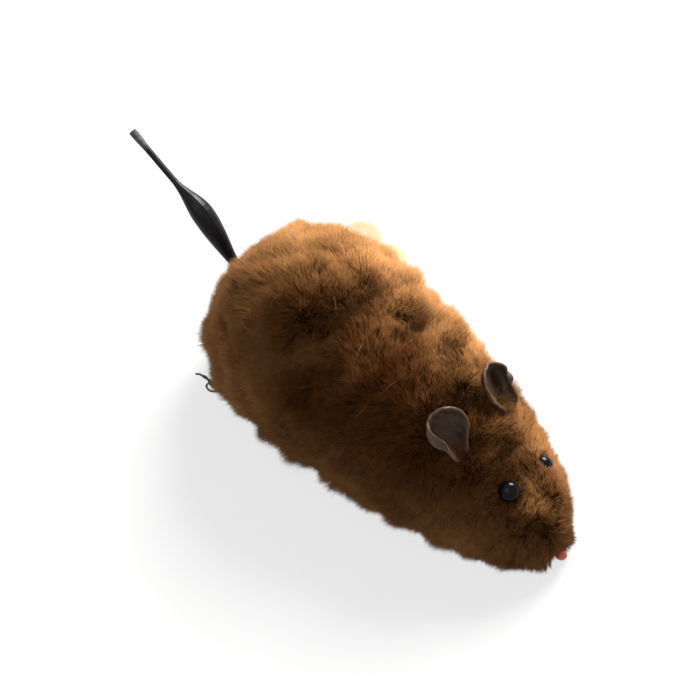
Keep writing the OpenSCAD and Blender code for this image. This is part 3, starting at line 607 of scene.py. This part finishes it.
def make_backing():
    """The cloth that carries the pile: two skins, closed along the lower edge and at both ends."""
    n_long, n_round = 72, 64
    skins = [skin_grid(n_long, n_round, deeper) for deeper in (0.0, CLOTH)]
    verts = np.concatenate([skin.reshape(-1, 3) for skin in skins])
    base = n_long * n_round
    faces = [f[::-1] for f in grid_faces(n_long, n_round)]
    faces += [tuple(base + i for i in f) for f in grid_faces(n_long, n_round)]
    for i in range(n_long - 1):
        a, b = i * n_round, (i + 1) * n_round
        c, d = a + n_round - 1, b + n_round - 1
        faces += [(a, b, base + b, base + a), (d, c, base + c, base + d)]
    first, last = list(range(n_round)), [base - n_round + j for j in range(n_round)]
    faces += [tuple(first), tuple(reversed(last))]
    faces += [tuple(base + j for j in reversed(first)), tuple(base + j for j in last)]
    faces += [(first[0], base + first[0], base + first[-1], first[-1])]
    faces += [(last[-1], base + last[-1], base + last[0], last[0])]
    o = new_object("plush_backing", verts, faces)
    wear(o, backing_paint())
    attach(o, "chassis")
    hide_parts("fur_cover")


# ---------------------------------------------------------------- small builders
def ring_faces(rows, cols):
    """The faces of a closed skin over rings of points, with a flat face on either end."""
    ends = [tuple(reversed(range(cols))), tuple((rows - 1) * cols + k for k in range(cols))]
    return grid_faces(rows, cols, closed=True) + ends


def lathe(name, profile, centre, axis, segments, flute=None):
    """A turned piece: profile holds (distance along the axis, radius) pairs, and flute scales it round."""
    axis = Vector(axis).normalized()
    side = axis.orthogonal().normalized()
    other = axis.cross(side)
    verts = []
    for h, r in profile:
        for k in range(segments):
            a = 2 * math.pi * k / segments
            scale = flute(a) if flute else 1
            verts.append(Vector(centre) + axis * h + (side * math.cos(a) + other * math.sin(a)) * r * scale)
    return new_object(name, verts, ring_faces(len(profile), segments))


def smooth_path(points, steps):
    """A Catmull-Rom curve through the points."""
    pts = [np.array(q, float) for q in points]
    pts = [2 * pts[0] - pts[1], *pts, 2 * pts[-1] - pts[-2]]
    out = []
    for i in range(1, len(pts) - 2):
        a, b, c, d = pts[i - 1:i + 3]
        for k in range(steps):
            t = k / steps
            bend, twist = 2 * a - 5 * b + 4 * c - d, 3 * b - a - 3 * c + d
            out.append(0.5 * (2 * b + (c - a) * t + bend * t**2 + twist * t**3))
    out.append(pts[-2])
    return np.array(out)


def tube(points, radius, sides):
    """Points and faces of a round thread; radius may be one number or one for each point on its way."""
    n = len(points)
    radius = np.broadcast_to(radius, n)
    heading = unit(np.gradient(points, axis=0))
    side = np.cross(heading[0], [0.3, 0.2, 1.0])
    verts = []
    for i in range(n):
        side = side - (side @ heading[i]) * heading[i]
        side /= np.linalg.norm(side)
        other = np.cross(heading[i], side)
        for k in range(sides):
            a = 2 * math.pi * k / sides
            verts.append(points[i] + radius[i] * (math.cos(a) * side + math.sin(a) * other))
    return verts, ring_faces(n, sides)


def rotation(x, y, z):
    """Turns about X, then Y, then Z, in degrees."""
    return (Matrix.Rotation(math.radians(z), 3, "Z") @ Matrix.Rotation(math.radians(y), 3, "Y")
            @ Matrix.Rotation(math.radians(x), 3, "X"))


# ---------------------------------------------------------------- ears
EAR_R = 5.4 * MM
EAR_AT = 0.747                         # the ear's root, as a share of the body's length
EAR_ROUND = 70                         # and round the section, in degrees from the widest line
EAR_STEM = 0.6 * MM                    # from the root to the disc
EAR_SINK = 0.7 * MM
EAR_THICK = 0.62 * MM
EAR_WAVES, EAR_WAVINESS = 2.4 * MM, 0.25 * MM   # how far apart its waves are, and how high
EAR_SET = ((0, 56, 38), (0, 0, 65))    # the turns that set it on the head, the second one first
EAR_RINGS, EAR_SPOKES = 22, 72
EAR_NECK = 0.38                        # half of the neck's width, in radians round the disc
PLAIN_REACH = 0.95                     # the leather from the middle to the edge, in disc radiuses
ROOT_REACH, LIP_REACH = 0.36, 0.62     # and how much more of it there is at the root and at the lip
PLAIN_BEND, LIP_BEND = 58, 235         # how far the ear's edge curls up, in degrees
CURL_STEPS, CURL_POWER = 16, 2.2       # a higher power keeps the curl nearer to the edge
LIP_TOWARD = Vector((0.05, 0.8, -0.5))
RIM_FROM, RIM_GROWS = 0.62, 2.4        # where the worn rim begins, in disc radiuses, and how fast


def over_place(share, inset, angle, side):
    """A place on the left (1) or right (-1), by share of the length, depth and degrees round the section."""
    u = (share * BODY_LEN - inset) / (BODY_LEN - 2 * inset)
    t = BELLY_PART + (1 - 2 * BELLY_PART) * angle / 180
    q = envelope(u, t, inset)
    return np.array([q[0], MID_Y + side * (q[1] - MID_Y), q[2]])


def ear_paint():
    f = Paint("ear_leatherette", roughness=0.5, Specular_IOR_Level=0.22)
    stain = f.noise(260, 4, 0.6)
    face = f.ramp(stain, (0.25, srgb(36, 23, 14)), (0.55, srgb(56, 38, 25)), (0.8, srgb(74, 52, 35)))
    worn = f.ramp(stain, (0.25, srgb(66, 46, 30)), (0.75, srgb(104, 77, 53)))
    f.colour(f.mix(f.attribute("rim"), face, worn)).rough(f.noise(900, 3), 0.44, 0.62)
    return f.bump(f.cells(1500), 0.00006, 0.7).bump(f.noise(420, 4), 0.00016, 0.5)


def mirrored(v, side):
    """The same place on the left (1) or on the right (-1)."""
    return Vector((v.x, MID_Y + side * (v.y - MID_Y), v.z))


def ear_point(a, s, lip_angle):
    """A point of the cupped disc: a is its angle round it, s its share of the way out from the middle."""
    toward_root = math.exp(-(math.remainder(a + math.pi / 2, 2 * math.pi) / EAR_NECK) ** 2)
    toward_lip = max(0, math.cos(a - lip_angle)) ** 1.1
    bend = math.radians(PLAIN_BEND + (LIP_BEND - PLAIN_BEND) * toward_lip) * (1 - toward_root)
    reach = EAR_R * (PLAIN_REACH + ROOT_REACH * toward_root + LIP_REACH * toward_lip)
    steps = s * (np.arange(CURL_STEPS) + 0.5) / CURL_STEPS
    radial = s * np.cos(bend * steps**CURL_POWER).mean()
    rise = s * np.sin(bend * steps**CURL_POWER).mean()
    return np.array([math.cos(a) * radial * reach, math.sin(a) * radial * reach, rise * reach])


def weld(o):
    """Joins points that lie on one another, and turns all faces outward."""
    bm = bmesh.new()
    bm.from_mesh(o.data)
    bmesh.ops.remove_doubles(bm, verts=bm.verts, dist=1e-7)
    bmesh.ops.recalc_face_normals(bm, faces=bm.faces)
    bm.to_mesh(o.data)
    bm.free()


def make_ear(node, side, paint):
    """A cupped leatherette disc. Its edge curls up all round, and folds over on the outer side."""
    root = Vector(over_place(EAR_AT, 0, EAR_ROUND, 1))
    turn = rotation(*EAR_SET[0]) @ rotation(*EAR_SET[1])
    lip = turn.inverted() @ LIP_TOWARD
    lip_angle = math.atan2(lip.y, lip.x)
    wobble = Noise(EAR_WAVES, 1, 51 if side > 0 else 52)
    verts = []
    for i in range(EAR_RINGS + 1):
        s = i / EAR_RINGS
        for k in range(EAR_SPOKES):
            q = ear_point(2 * math.pi * k / EAR_SPOKES, s, lip_angle)
            q[2] += EAR_WAVINESS * s * float(wobble(q[None])[0, 0]) - EAR_SINK
            q[1] += EAR_R + EAR_STEM
            verts.append(mirrored(turn @ Vector(q) + root, side))
    faces = grid_faces(EAR_RINGS + 1, EAR_SPOKES, closed=True)
    if side < 0:
        faces = [tuple(reversed(f)) for f in faces]
    o = new_object(f"{node}_leather", verts, faces)
    weld(o)
    middle = mirrored(turn @ Vector((0, EAR_R + EAR_STEM, 0)) + root, side)
    out = [(v.co - middle).length / EAR_R - RIM_FROM for v in o.data.vertices]
    set_attribute(o, "rim", [min(1, max(0, share) * RIM_GROWS) for share in out])
    thick = o.modifiers.new("leather", "SOLIDIFY")
    thick.thickness = EAR_THICK
    thick.offset = 0
    rounder = o.modifiers.new("round", "SUBSURF")
    rounder.levels = rounder.render_levels = 1
    wear(o, paint)
    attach(o, "chassis")
    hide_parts(node)


# ---------------------------------------------------------------- eyes, nose and loose thread
EYE_AT = 0.864
EYE_R = 2.3 * MM
EYE_FLAT = 0.86
# The right eye (-1) and the left (1): depth in the pile, degrees round the section, how far it looks out
EYE_SEAT = {-1: (0.6 * MM, 74, 0.30), 1: (1.8 * MM, 54, 0.62)}


def make_eyes():
    """Two black beads, each with a shank that goes into the head."""
    f = Paint("eye_bead_black", roughness=0.07, Specular_IOR_Level=0.1)
    f.colour(f.ramp(f.noise(300), (0.3, srgb(4, 4, 6)), (0.7, srgb(11, 11, 14))))
    f.rough(f.noise(1200, 2), 0.05, 0.11)
    round_the_bead = np.linspace(-1.25, math.pi / 2 - 0.02, 30)
    bead = [(EYE_R * EYE_FLAT * math.sin(a), EYE_R * math.cos(a)) for a in round_the_bead]
    shank = [(-3.6 * MM, 0.35 * MM), (-3.5 * MM, 0.5 * MM), (-2.1 * MM, 0.5 * MM), (-1.98 * MM, 0.66 * MM)]
    for node, side in (("eye_left", 1), ("eye_right", -1)):
        depth, angle, outward = EYE_SEAT[side]
        at = over_place(EYE_AT, depth, angle, side)
        out = Vector((0.40, outward * side, 0.75)).normalized()
        o = lathe(f"{node}_bead", shank + bead, at, out, 56)
        wear(o, f)
        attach(o, "chassis")
        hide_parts(node)


NOSE_FLAT = 0.86
NOSE_FLUTES = 8
FLUTE_DEPTH = 0.035                    # as a share of the nose's radius


def make_nose():
    """A small red bead, faintly fluted."""
    f = Paint("nose_red", roughness=0.35, Specular_IOR_Level=0.5, Subsurface_Weight=0.1)
    f.colour(f.ramp(f.noise(800), (0.3, srgb(150, 44, 38)), (0.7, srgb(184, 74, 62))))
    f.bump(f.noise(3000), 0.00004, 0.6)
    lo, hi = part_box("nose")
    r = (hi.z - lo.z) / 2
    at = Vector((hi.x - r, (hi.y + lo.y) / 2, (hi.z + lo.z) / 2))
    bead = [(-3.6 * MM, 0.4 * MM), (-3.5 * MM, 0.5 * MM), (-r * 0.95, 0.5 * MM)]
    round_the_nose = np.linspace(-1.1, math.pi / 2 - 0.03, 26)
    bead += [(r * math.sin(a), r * math.cos(a) * NOSE_FLAT) for a in round_the_nose]
    o = lathe("nose_bead", bead, at, (1, 0, 0), 64, lambda a: 1 + FLUTE_DEPTH * math.cos(NOSE_FLUTES * a))
    wear(o, f)
    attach(o, "chassis")
    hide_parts("nose")


# The thread's route from its knot, in millimetres: two loose ends, a loop, and the knot itself
THREAD_RUNS = [
    [(0, 0, 0), (-1.2, -1.0, 0.3), (-2.5, -1.3, 0.9), (-3.8, -0.9, 1.6), (-4.9, -1.1, 1.9)],
    [(0, 0, 0), (-1.3, -0.6, 0.8), (-2.6, -0.9, 1.7), (-3.9, -1.5, 2.3), (-5.2, -1.7, 2.6),
     (-6.2, -2.2, 2.4)],
    [(0, 0, 0), (-0.8, -1.2, -0.4), (-2.0, -2.0, -0.5), (-3.3, -1.8, -0.2), (-3.2, -0.9, 0.2),
     (-1.6, -0.3, 0.1)],
    [(0.6, 1.6, -0.2), (0.2, 0.5, 0.5), (-0.5, -0.4, 0.4), (-0.3, -0.6, -0.5), (0.5, -0.2, -0.4),
     (0.3, 0.4, 0.5), (0, 1.4, 0)],
]
KNOT_IN = 0.9 * MM                     # the knot's middle, from the front and from the left of the tuft's box
KNOT_UP = 1.0 * MM                     # and from its floor
YARN_R = 0.15 * MM
YARN_APART = 0.13 * MM                 # from the middle of the thread to the middle of either yarn
YARN_TWIST = 0.75                      # radians for each step along the thread


def make_thread():
    """A knot, a loop and two loose ends of black sewing thread, each of two twisted yarns."""
    f = Paint("thread_black", roughness=0.6, Sheen_Weight=0.4)
    f.colour(f.ramp(f.noise(1500), (0.3, srgb(20, 21, 24)), (0.7, srgb(74, 76, 82))))
    f.bump(f.noise(6000), 0.00003, 0.8)
    lo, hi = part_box("thread_tuft")
    knot = np.array([hi.x - KNOT_IN, hi.y - KNOT_IN, lo.z + KNOT_UP])
    verts, faces = [], []
    for run in THREAD_RUNS:
        line = smooth_path([knot + np.array(q) * MM for q in run], 12)
        heading = unit(np.gradient(line, axis=0))
        side = unit(np.cross(heading, [0.2, 0.1, 1.0]))
        other = np.cross(heading, side)
        turn = np.arange(len(line)) * YARN_TWIST
        for half in (0, math.pi):
            off = np.cos(turn + half)[:, None] * side + np.sin(turn + half)[:, None] * other
            v, q = tube(line + off * YARN_APART, YARN_R, 7)
            faces += [tuple(len(verts) + i for i in face) for face in q]
            verts += v
    o = new_object("thread_tuft_yarn", verts, faces)
    wear(o, f)
    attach(o, "chassis")
    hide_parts("thread_tuft")


# ---------------------------------------------------------------- tyres
TYRE_THICK = 1.4 * MM
TYRE_EDGE = 0.35 * MM                  # the rounding of its shoulders
EDGE_MIDDLE = 0.3                      # how far in the middle of that rounding lies, as a share of it
RIBS = 44
RIB_DEPTH = 0.22 * MM


def make_tyres():
    """Rubber tyres with rounded shoulders and fine cross ribs, one mesh for each side."""
    f = Paint("tyre_rubber", roughness=0.7, Specular_IOR_Level=0.35)
    f.colour(f.ramp(f.noise(500, 4), (0.3, srgb(26, 26, 27)), (0.7, srgb(50, 49, 48))))
    f.rough(f.noise(700), 0.6, 0.8).bump(f.noise(2600, 3), 0.00004, 0.6)
    for node in ("tyre_left", "tyre_right"):
        lo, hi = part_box(node)
        centre = (lo + hi) / 2
        h, outer = (hi.y - lo.y) / 2, (hi.z - lo.z) / 2
        inner = outer - TYRE_THICK
        bevel = TYRE_EDGE * EDGE_MIDDLE
        half = [(-h, inner), (-h, outer - TYRE_EDGE), (-h + bevel, outer - bevel), (-h + TYRE_EDGE, outer)]
        profile = half + [(0, outer)] + [(-y, r) for y, r in reversed(half)]
        tread = (3, 4, 5)
        verts, segments = [], RIBS * 4
        for i, (y, r) in enumerate(profile):
            for k in range(segments):
                a = 2 * math.pi * k / segments
                reach = r - RIB_DEPTH if i in tread and k % 4 >= 2 else r
                verts.append((centre.x + math.cos(a) * reach, centre.y + y, centre.z + math.sin(a) * reach))
        faces = grid_faces(len(profile), segments, closed=True)
        last = (len(profile) - 1) * segments
        faces += [(last + k, last + (k + 1) % segments, (k + 1) % segments, k) for k in range(segments)]
        o = new_object(f"{node}_ribbed", verts, faces, smooth=False)
        wear(o, f)
        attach(o, "wheels")
        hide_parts(node)


# ---------------------------------------------------------------- finishes for the CAD pieces
def soften(name, width):
    """Breaks a piece's sharp edges."""
    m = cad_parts[name].modifiers.new("edge", "BEVEL")
    m.width = width
    m.segments = 2
    m.limit_method = "ANGLE"
    m.angle_limit = math.radians(40)


def metal(name, dark, light, low, high, grain):
    """Metal with fine lines; grain is how close they lie along each axis."""
    f = Paint(name, Metallic=1.0)
    stretch = f.nt.nodes.new("ShaderNodeMapping")
    stretch.inputs["Scale"].default_value = grain
    f.link(f.place, stretch.inputs["Vector"])
    lines = f.nt.nodes.new("ShaderNodeTexNoise")
    lines.inputs["Scale"].default_value = 1
    lines.inputs["Detail"].default_value = 4
    f.link(stretch.outputs[0], lines.inputs["Vector"])
    f.colour(f.ramp(f.noise(350, 4), (0.3, dark), (0.7, light)))
    f.rough(lines.outputs["Fac"], low, high)
    return f.bump(lines.outputs["Fac"], 0.00002, 0.6)


def moulded(name, dark, light, low, high, scale=600, bump=0.00003, **sockets):
    """Plastic, with roughness between low and high."""
    f = Paint(name, **sockets)
    f.colour(f.ramp(f.noise(scale, 4), (0.3, dark), (0.7, light)))
    f.rough(f.noise(scale * 0.6, 3), low, high)
    return f.bump(f.noise(scale * 4, 3), bump, 0.6)


GREY_X, BLACK_X = REAR_X - 28.2 * MM, REAR_X - 26.8 * MM   # where the grey tip ends and the black begins


def tail_paint():
    """Glossy black rubber that turns to a matt grey at the tip."""
    f = Paint("tail_rubber", roughness=0.3, Specular_IOR_Level=0.12)
    apart = f.nt.nodes.new("ShaderNodeSeparateXYZ")
    f.link(f.place, apart.inputs[0])
    share = f.nt.nodes.new("ShaderNodeMapRange")
    share.inputs["From Min"].default_value = GREY_X
    share.inputs["From Max"].default_value = BLACK_X
    share.inputs["To Min"].default_value = 1
    share.inputs["To Max"].default_value = 0
    f.link(apart.outputs[0], share.inputs["Value"])
    tip = share.outputs["Result"]
    rubber = f.ramp(f.noise(420, 4), (0.3, srgb(9, 9, 11)), (0.7, srgb(24, 23, 25)))
    worn = f.ramp(f.noise(900, 3), (0.3, srgb(62, 62, 64)), (0.7, srgb(104, 104, 106)))
    f.colour(f.mix(tip, rubber, worn))
    gloss = f.ramp(f.noise(700, 3), (0.3, 0.26), (0.7, 0.42))
    f.link(f.mix(tip, gloss, (0.72, 0.72, 0.72)), f.shader.inputs["Roughness"])
    return f.bump(f.noise(520, 3), 0.00012, 0.5).bump(f.noise(2600, 2), 0.00003, 0.5)


PLATE_EDGE = 0.06 * MM
PLASTIC_EDGE = 0.15 * MM
KEY_SKIN = 0.16 * MM


def smooth_key():
    """Takes the key's moulding over in one skin, with its edges eased."""
    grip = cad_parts["key_grip"]
    skin = grip.modifiers.new("moulded", "REMESH")
    skin.mode = "VOXEL"
    skin.voxel_size = KEY_SKIN
    skin.use_smooth_shade = True
    ease = grip.modifiers.new("ease", "SMOOTH")
    ease.factor, ease.iterations = 0.5, 10


def finish_cad():
    """Materials and softened edges for the pieces that stay as they were built."""
    steel = metal("turned_steel", srgb(128, 128, 132), srgb(186, 186, 190), 0.22, 0.4, (400, 6000, 400))
    plate = metal("zinc_plate", srgb(150, 152, 156), srgb(192, 194, 198), 0.3, 0.5, (300, 300, 5000))
    spring = metal("blued_spring", srgb(58, 66, 84), srgb(96, 104, 122), 0.22, 0.4, (3000, 200, 3000))
    brass = metal("turned_brass", srgb(168, 128, 62), srgb(214, 176, 98), 0.22, 0.4, (500, 5000, 500))
    acetal = moulded("acetal", srgb(214, 208, 188), srgb(232, 228, 212), 0.3, 0.42, Subsurface_Weight=0.1)
    shell = moulded("shell_plastic", srgb(62, 46, 38), srgb(84, 64, 54), 0.45, 0.6)
    base = moulded("base_plastic", srgb(28, 28, 30), srgb(46, 46, 48), 0.45, 0.62, 900, 0.00006)
    hub = moulded("wheel_plastic", srgb(24, 24, 26), srgb(40, 40, 42), 0.3, 0.45)
    key = moulded("key_plastic", srgb(134, 128, 92), srgb(154, 148, 112), 0.32, 0.46, 260, 0.00004,
                  Subsurface_Weight=0.25)
    finishes = {
        "base_plastic": (base, ["chassis_plate"]),
        "shell_plastic": (shell, ["body_shell"]),
        "steel": (steel, ["body_screws", "roller_axle", "winding_arbor", "second_arbor", "drive_axle",
                          "tail_arbor", "tail_shaft"]),
        "plate_steel": (plate, ["motor_plate_left", "motor_plate_right"]),
        "brass": (brass, ["frame_pillars", "tail_bush", "ratchet_wheel", "second_pinion", "drive_pinion",
                          "tail_arbor_pinion", "tail_pinion"]),
        "spring_steel": (spring, ["mainspring", "click_spring"]),
        "gear_plastic": (acetal, ["great_gear", "second_gear", "crown_gear"]),
        "key_plastic": (key, ["key_grip"]),
        "tail_rubber": (tail_paint(), ["tail"]),
    }
    for slot, (paint, nodes) in finishes.items():
        for n in nodes:
            wear(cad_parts[n], paint)
    for n in ("wheel_left", "wheel_right", "front_roller"):
        wear(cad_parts[n], hub)
    for n in ("chassis_plate", "wheel_left", "wheel_right", "front_roller", "body_screws"):
        soften(n, PLASTIC_EDGE)
    for n in ("motor_plate_left", "motor_plate_right"):
        soften(n, PLATE_EDGE)
    smooth_key()
    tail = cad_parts["tail"]
    tail.data.polygons.foreach_set("use_smooth", [True] * len(tail.data.polygons))


# ---------------------------------------------------------------- stage, light and camera
VIEW_AZIMUTH = math.radians(40.6)
VIEW_ELEVATION = math.radians(54.7)
VIEW_DISTANCE = 400 * MM
LENS = 92.2
SENSOR = 36
AIM = datum(50, 0, 15)
AIM_LEFT_AND_UP = 10.4 * MM            # as seen, the camera points this far to the left of AIM and above it
KEY_LIGHT = {"at": (-0.12, 0.46, 0.40), "size": 0.36, "power": 11.2, "colour": (1.0, 0.97, 0.93)}
FILL_LIGHT = {"at": (0.05, -0.35, 0.60), "size": 0.5, "power": 1.1, "colour": (1, 1, 1)}
LIGHTS_AIM = Vector((0, 0, 0.02))
WORLD_LIGHT = 0.2
FLOOR_WHITE = 0.72                     # the share of plain white in the floor that camera and mirror rays see


def make_camera():
    """A long lens, looking down from the mouse's front right."""
    a, e = VIEW_AZIMUTH, VIEW_ELEVATION
    back = Vector((math.sin(a) * math.cos(e), -math.cos(a) * math.cos(e), math.sin(e)))
    right = Vector((math.cos(a), math.sin(a), 0))
    up = back.cross(right)
    cam = bpy.data.objects.new("camera", bpy.data.cameras.new("camera"))
    bpy.context.scene.collection.objects.link(cam)
    cam.data.lens = LENS
    cam.data.sensor_width = SENSOR
    cam.data.clip_start, cam.data.clip_end = 0.01, 20
    cam.location = Vector(AIM) + back * VIEW_DISTANCE
    target = Vector(AIM) + (up - right) * AIM_LEFT_AND_UP
    cam.rotation_mode = "QUATERNION"
    look = (target - cam.location).normalized()
    cam.rotation_quaternion = look.to_track_quat("-Z", "Y")
    bpy.context.scene.camera = cam


def area_light(name, at, size, power, colour):
    lamp = bpy.data.lights.new(name, "AREA")
    lamp.shape = "DISK"
    lamp.size = size
    lamp.energy = power
    lamp.color = colour
    o = bpy.data.objects.new(name, lamp)
    bpy.context.scene.collection.objects.link(o)
    o.location = at
    o.rotation_mode = "QUATERNION"
    aim = LIGHTS_AIM - Vector(at)
    o.rotation_quaternion = aim.normalized().to_track_quat("-Z", "Y")


def camera_rays(nt):
    """One for a ray from the camera, or one that a mirror or glass sends on."""
    path = nt.nodes.new("ShaderNodeLightPath")
    total = path.outputs["Is Camera Ray"]
    for name in ("Is Glossy Ray", "Is Transmission Ray"):
        add = nt.nodes.new("ShaderNodeMath")
        add.operation = "MAXIMUM"
        nt.links.new(total, add.inputs[0])
        nt.links.new(path.outputs[name], add.inputs[1])
        total = add.outputs[0]
    return total


def shader_mix(nt, share, a, b, out):
    """Wires up a blend of two shaders to the material's or the world's output."""
    mixer = nt.nodes.new("ShaderNodeMixShader")
    nt.links.new(share, mixer.inputs[0])
    nt.links.new(a.outputs[0], mixer.inputs[1])
    nt.links.new(b.outputs[0], mixer.inputs[2])
    nt.links.new(mixer.outputs[0], out.inputs["Surface"])


def make_floor():
    bpy.ops.mesh.primitive_plane_add(size=6, location=(0, 0, 0))
    floor = bpy.context.object
    floor.name = "floor"
    mat = bpy.data.materials.new("floor_paper")
    mat.use_nodes = True
    nt = mat.node_tree
    shader = nt.nodes["Principled BSDF"]
    shader.inputs["Base Color"].default_value = (0.8, 0.8, 0.81, 1)
    shader.inputs["Roughness"].default_value = 0.9
    shader.inputs["Specular IOR Level"].default_value = 0.1
    white = nt.nodes.new("ShaderNodeEmission")
    white.inputs["Strength"].default_value = 1.0
    share = nt.nodes.new("ShaderNodeMath")
    share.operation = "MULTIPLY"
    share.inputs[1].default_value = FLOOR_WHITE
    nt.links.new(camera_rays(nt), share.inputs[0])
    shader_mix(nt, share.outputs[0], shader, white, nt.nodes["Material Output"])
    floor.data.materials.append(mat)


def make_world():
    """Dim light from all round, which the camera and mirrors see as plain white."""
    world = bpy.data.worlds.new("studio")
    bpy.context.scene.world = world
    world.use_nodes = True
    nt = world.node_tree
    dim = nt.nodes["Background"]
    seen = nt.nodes.new("ShaderNodeBackground")
    for background, strength in ((dim, WORLD_LIGHT), (seen, 1.0)):
        background.inputs["Color"].default_value = (1, 1, 1, 1)
        background.inputs["Strength"].default_value = strength
    shader_mix(nt, camera_rays(nt), dim, seen, nt.nodes["World Output"])


make_camera()
make_floor()
make_world()
area_light("key_light", **KEY_LIGHT)
area_light("fill_light", **FILL_LIGHT)
make_fur()
make_backing()
make_strays()
leather = ear_paint()
make_ear("ear_left", 1, leather)
make_ear("ear_right", -1, leather)
make_eyes()
make_nose()
make_thread()
make_tyres()
finish_cad()

bpy.context.scene.view_settings.view_transform = "Standard"
